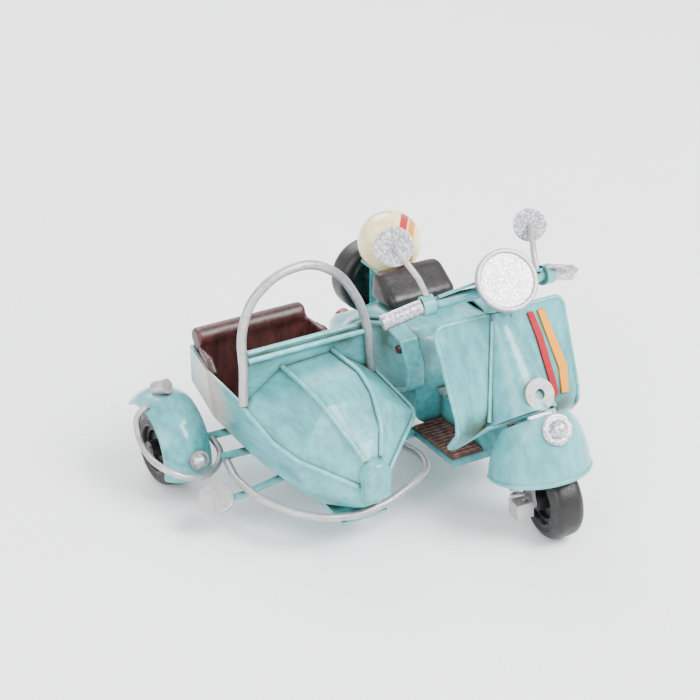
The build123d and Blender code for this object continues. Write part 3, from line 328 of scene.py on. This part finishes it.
dress(turquoise("front_fender_enamel", (0.6, 1, 0.25), stains=[((44, -10, 28), 11, 0.9)]), "front_fender")
dress(turquoise("column_enamel", (1, 1, 0.3)), "steering_column", "head_tube")
dress(turquoise("bar_enamel", (1, 0.25, 1)), "handlebar", "lever_clamps", "lamp_brackets", "headlamp_shell")
knee_stains = [((30, 12, 27), 9, 0.9), ((30, 37, 27), 9, 0.9)]
dress(turquoise("shield_enamel", (1, 1, 0.2), stains=knee_stains), "leg_shield")
dress(turquoise("wire_enamel", (1, 1, 1), light=0.04, seam_grime_and_shade=1.3), "shield_wires", "sidecar_wires")
dress(turquoise("panel_enamel", (1, 1, 0.25)), "centre_panel")
dress(turquoise("floor_enamel", (0.3, 1, 1)), "floorboard")
casing = turquoise("casing_enamel", (0.3, 1, 1), stains=[((0, 12, 34), 12, 0.8)])
dress(casing, "rear_body", "rear_frame", "luggage_rack")
dress(turquoise("cover_enamel", (0.4, 1, 1), stains=[((-6, 8, 36), 11, 0.9)]), "engine_covers")
dress(turquoise("tub_enamel", (0.25, 1, 1), faded=[((-22, -34, 24), 16, (0.66, 0.62, 0.58))]), "sidecar_tub")
dress(turquoise("hood_enamel", (0.3, 1, 1)), "sidecar_hood")
cowl_stains = [((0, -4, 41), 9, 0.9), ((0, -28, 41), 9, 0.6)]
dress(turquoise("cowl_enamel", (1, 0.3, 1), stains=cowl_stains), "cowl_plate")
dress(turquoise("nose_enamel", (1, 1, 1)), "nose_cap")
dress(turquoise("side_fender_enamel", (0.4, 1, 1), gloss=0.18), "side_fender")
dress(turquoise("bar_work_enamel", (1, 1, 1), seam_grime_and_shade=1.4), "sidecar_bars")


# ---- silver paint ----
# Hoops, guards, fork and small fittings are brushed with a silver paint that is a little pink.
silver = Paint("silver_paint", Metallic=0.75)
brush = silver.noise(700, 4, 0.7)
cloud = silver.noise(200, 3)
SILVER = (0.74, 0.725, 0.73)
SHADED = 0.82                            # darker strokes, as a share of the silver
silver.give(Base_Color=silver.blend(silver.step(brush * 0.6 + cloud * 0.4, 0.35, 0.65),
                                    tint(*[c * SHADED for c in SILVER]), tint(*SILVER)),
            Roughness=0.34 + brush * 0.2, Normal=silver.bump(brush + cloud, 0.00012))
dress(silver.material, "windscreen_hoop", "bumper_hoop", "ring_bumper", "mirror_stems", "fork", "front_axle",
      "suspension_spring", "wheel_axles", "brake_lever", "spare_mount", "brake_pedal", "headlamp_rim",
      "side_lamps", "badge_washer", "foot_pad")


# ---- lamp faces, mirrors and grips ----
# Bright metal with a fine speckle: domed and flat lamp glasses, both mirrors, the fender lamp's
# turned body and the grips.
bright = Paint("lamp_face", Metallic=0.9)
grain = bright.noise(1500, 4, 0.8)
speckle = bright.step(grain, 0.48, 0.6)
bright.give(Base_Color=bright.blend(speckle, tint(0.62, 0.62, 0.64), tint(0.95, 0.95, 0.96)),
            Roughness=0.18 + grain * 0.4, Normal=bright.bump(grain, 0.00008))
dress(bright.material, "headlamp_glass", "side_lamp_lens", "fender_lamp_lens", "fender_lamp", "grips",
      "mirrors")


# ---- saddle and sidecar seat ----
# Stuffed pieces: the saddle is black with a soft sheen, and the sidecar's back rest, arms and
# cushion are dark maroon; on both the sheen is partly painted in as lighter patches. The back rest has a
# rolled top.
def stuffed(name, node, material, grain=0.0007, rounds=10):
    """Soft form of a plain CAD solid: its corners are drawn in and its faces stay full."""
    source = nodes[node]
    piece = bpy.data.objects.new(name, source.data.copy())
    piece.matrix_world = source.matrix_world
    bpy.context.scene.collection.objects.link(piece)
    remesh = piece.modifiers.new("skin", "REMESH")
    remesh.mode, remesh.voxel_size = "VOXEL", grain
    soften = piece.modifiers.new("soften", "SMOOTH")
    soften.factor, soften.iterations = 0.5, rounds
    bpy.context.view_layer.update()
    finished = piece.evaluated_get(bpy.context.evaluated_depsgraph_get())
    shaped = bpy.data.meshes.new_from_object(finished)
    piece.modifiers.clear()
    piece.data = shaped
    shaped.materials.clear()
    shaped.materials.append(material)
    shaped.polygons.foreach_set("use_smooth", [True] * len(shaped.polygons))
    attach(piece, "chassis")
    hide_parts(node)
    return piece


def leather(name, dark, light, rough, strokes):
    """Painted leather look: creases and brush marks, with lighter patches that are partly painted sheen."""
    paint = Paint(name, Specular_IOR_Level=0.5)
    marks = paint.noise(420, 4, 0.65, stretch=strokes)
    creases = paint.noise(150, 3, 0.6)
    # The lighter colour marks brush strokes and creases, and also stands as painted sheen.
    paler_share = paint.step(marks * 0.6 + creases * 0.4, 0.38, 0.62)
    paint.give(Base_Color=paint.blend(paler_share, tint(*dark), tint(*light)),
               Roughness=rough + marks * 0.2, Normal=paint.bump(marks * 0.5 + creases, 0.00025))
    return paint.material


black_hide = leather("black_leather", (0.045, 0.035, 0.04), (0.12, 0.085, 0.10), 0.28, (0.4, 1, 1))
maroon_hide = leather("maroon_leather", (0.13, 0.055, 0.05), (0.27, 0.13, 0.12), 0.3, (1, 1, 0.25))
stuffed("saddle_pad", "saddle", black_hide)
stuffed("back_rest", "seat_back", maroon_hide, 0.0006, 5)
stuffed("seat_pad", "seat_cushion", maroon_hide)


# ---- helmet ----
# A cream dome on the rack, with a red band and a narrower amber band beside it that arch over
# its front left side.
shell = Paint("cream_enamel", Roughness=0.16, Coat_Weight=0.5)
helmet_low, helmet_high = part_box("helmet")
middle = (helmet_low + helmet_high) / 2
BAND_WAY = (0.62, 0.78, 0.0)             # the bands lie across this direction
RED_BAND, AMBER_BAND = (0.0030, 0.0052), (0.0052, 0.0069)
SOFT_EDGE = 0.0003
along = shell.node("VectorMath", {0: shell.place(), 1: BAND_WAY}, out="Value", operation="DOT_PRODUCT")
offset = along - (middle[0] * BAND_WAY[0] + middle[1] * BAND_WAY[1]) + shell.noise(300) * 0.0004


def band(near, far):
    """1 between two distances from the dome's middle."""
    return shell.step(offset, near, near + SOFT_EDGE) * (1 - shell.step(offset, far - SOFT_EDGE, far))


red, amber = band(*RED_BAND), band(*AMBER_BAND)
aged = shell.step(shell.noise(240, 4), 0.4, 0.6)
base = shell.blend(aged, tint(0.86, 0.77, 0.56), tint(0.93, 0.87, 0.68))
base = shell.blend(red, base, tint(0.66, 0.03, 0.09))
base = shell.blend(amber, base, tint(0.84, 0.50, 0.04))
shell.give(Base_Color=base, Normal=shell.bump(shell.noise(200) + red * 0.4 + amber * 0.4, 0.0001))
dress(shell.material, "helmet")


# ---- small painted pieces ----
# Wheel discs, tail lamp, cover knob and mats, each in one brushed-on colour, and the shield's
# two stripes: red inside and amber outside. The spare's disc is the turquoise painted darker, as painted
# shade inside the tyre.
def plain(name, first, second, rough=0.4):
    """One colour brushed on unevenly."""
    paint = Paint(name)
    cloud = paint.noise(500, 4, 0.6)
    paint.give(Base_Color=paint.blend(paint.step(cloud, 0.4, 0.6), tint(*first), tint(*second)),
               Roughness=rough + cloud * 0.2, Normal=paint.bump(cloud, 0.0001))
    return paint.material


dress(plain("hub_black", (0.05, 0.055, 0.055), (0.12, 0.13, 0.13), 0.35), "front_hub", "rear_hub", "side_hub")
# The spare's disc is the turquoise painted darker: painted shade inside the tyre.
dress(plain("spare_disc_shaded_teal", (0.07, 0.16, 0.15), (0.14, 0.28, 0.26), 0.4), "spare_rim")
dress(plain("red_enamel", (0.35, 0.03, 0.05), (0.56, 0.08, 0.08), 0.25), "tail_lamp")
dress(plain("brown_enamel", (0.20, 0.07, 0.04), (0.32, 0.13, 0.09), 0.3), "cover_knob")
dress(plain("ribbed_mat", (0.34, 0.23, 0.21), (0.50, 0.36, 0.33), 0.6), "floor_mats")
stripes = Paint("stripe_paint", Roughness=0.28)
STRIPE_SPLIT = 0.0400                    # where red gives way to amber, at the floor
STRIPE_LEAN = 0.09                       # how much that line moves inward with height
left = stripes.node("SeparateXYZ", {0: stripes.place()}, out="Y")
height = stripes.node("SeparateXYZ", {0: stripes.place()}, out="Z")
outer = stripes.step(left + height * STRIPE_LEAN - STRIPE_SPLIT, -0.0002, 0.0002)
stripes.give(Base_Color=stripes.blend(outer, tint(0.62, 0.02, 0.10), tint(0.86, 0.56, 0.05)),
             Normal=stripes.bump(stripes.noise(400, 4), 0.00025))
dress(stripes.material, "shield_stripes")
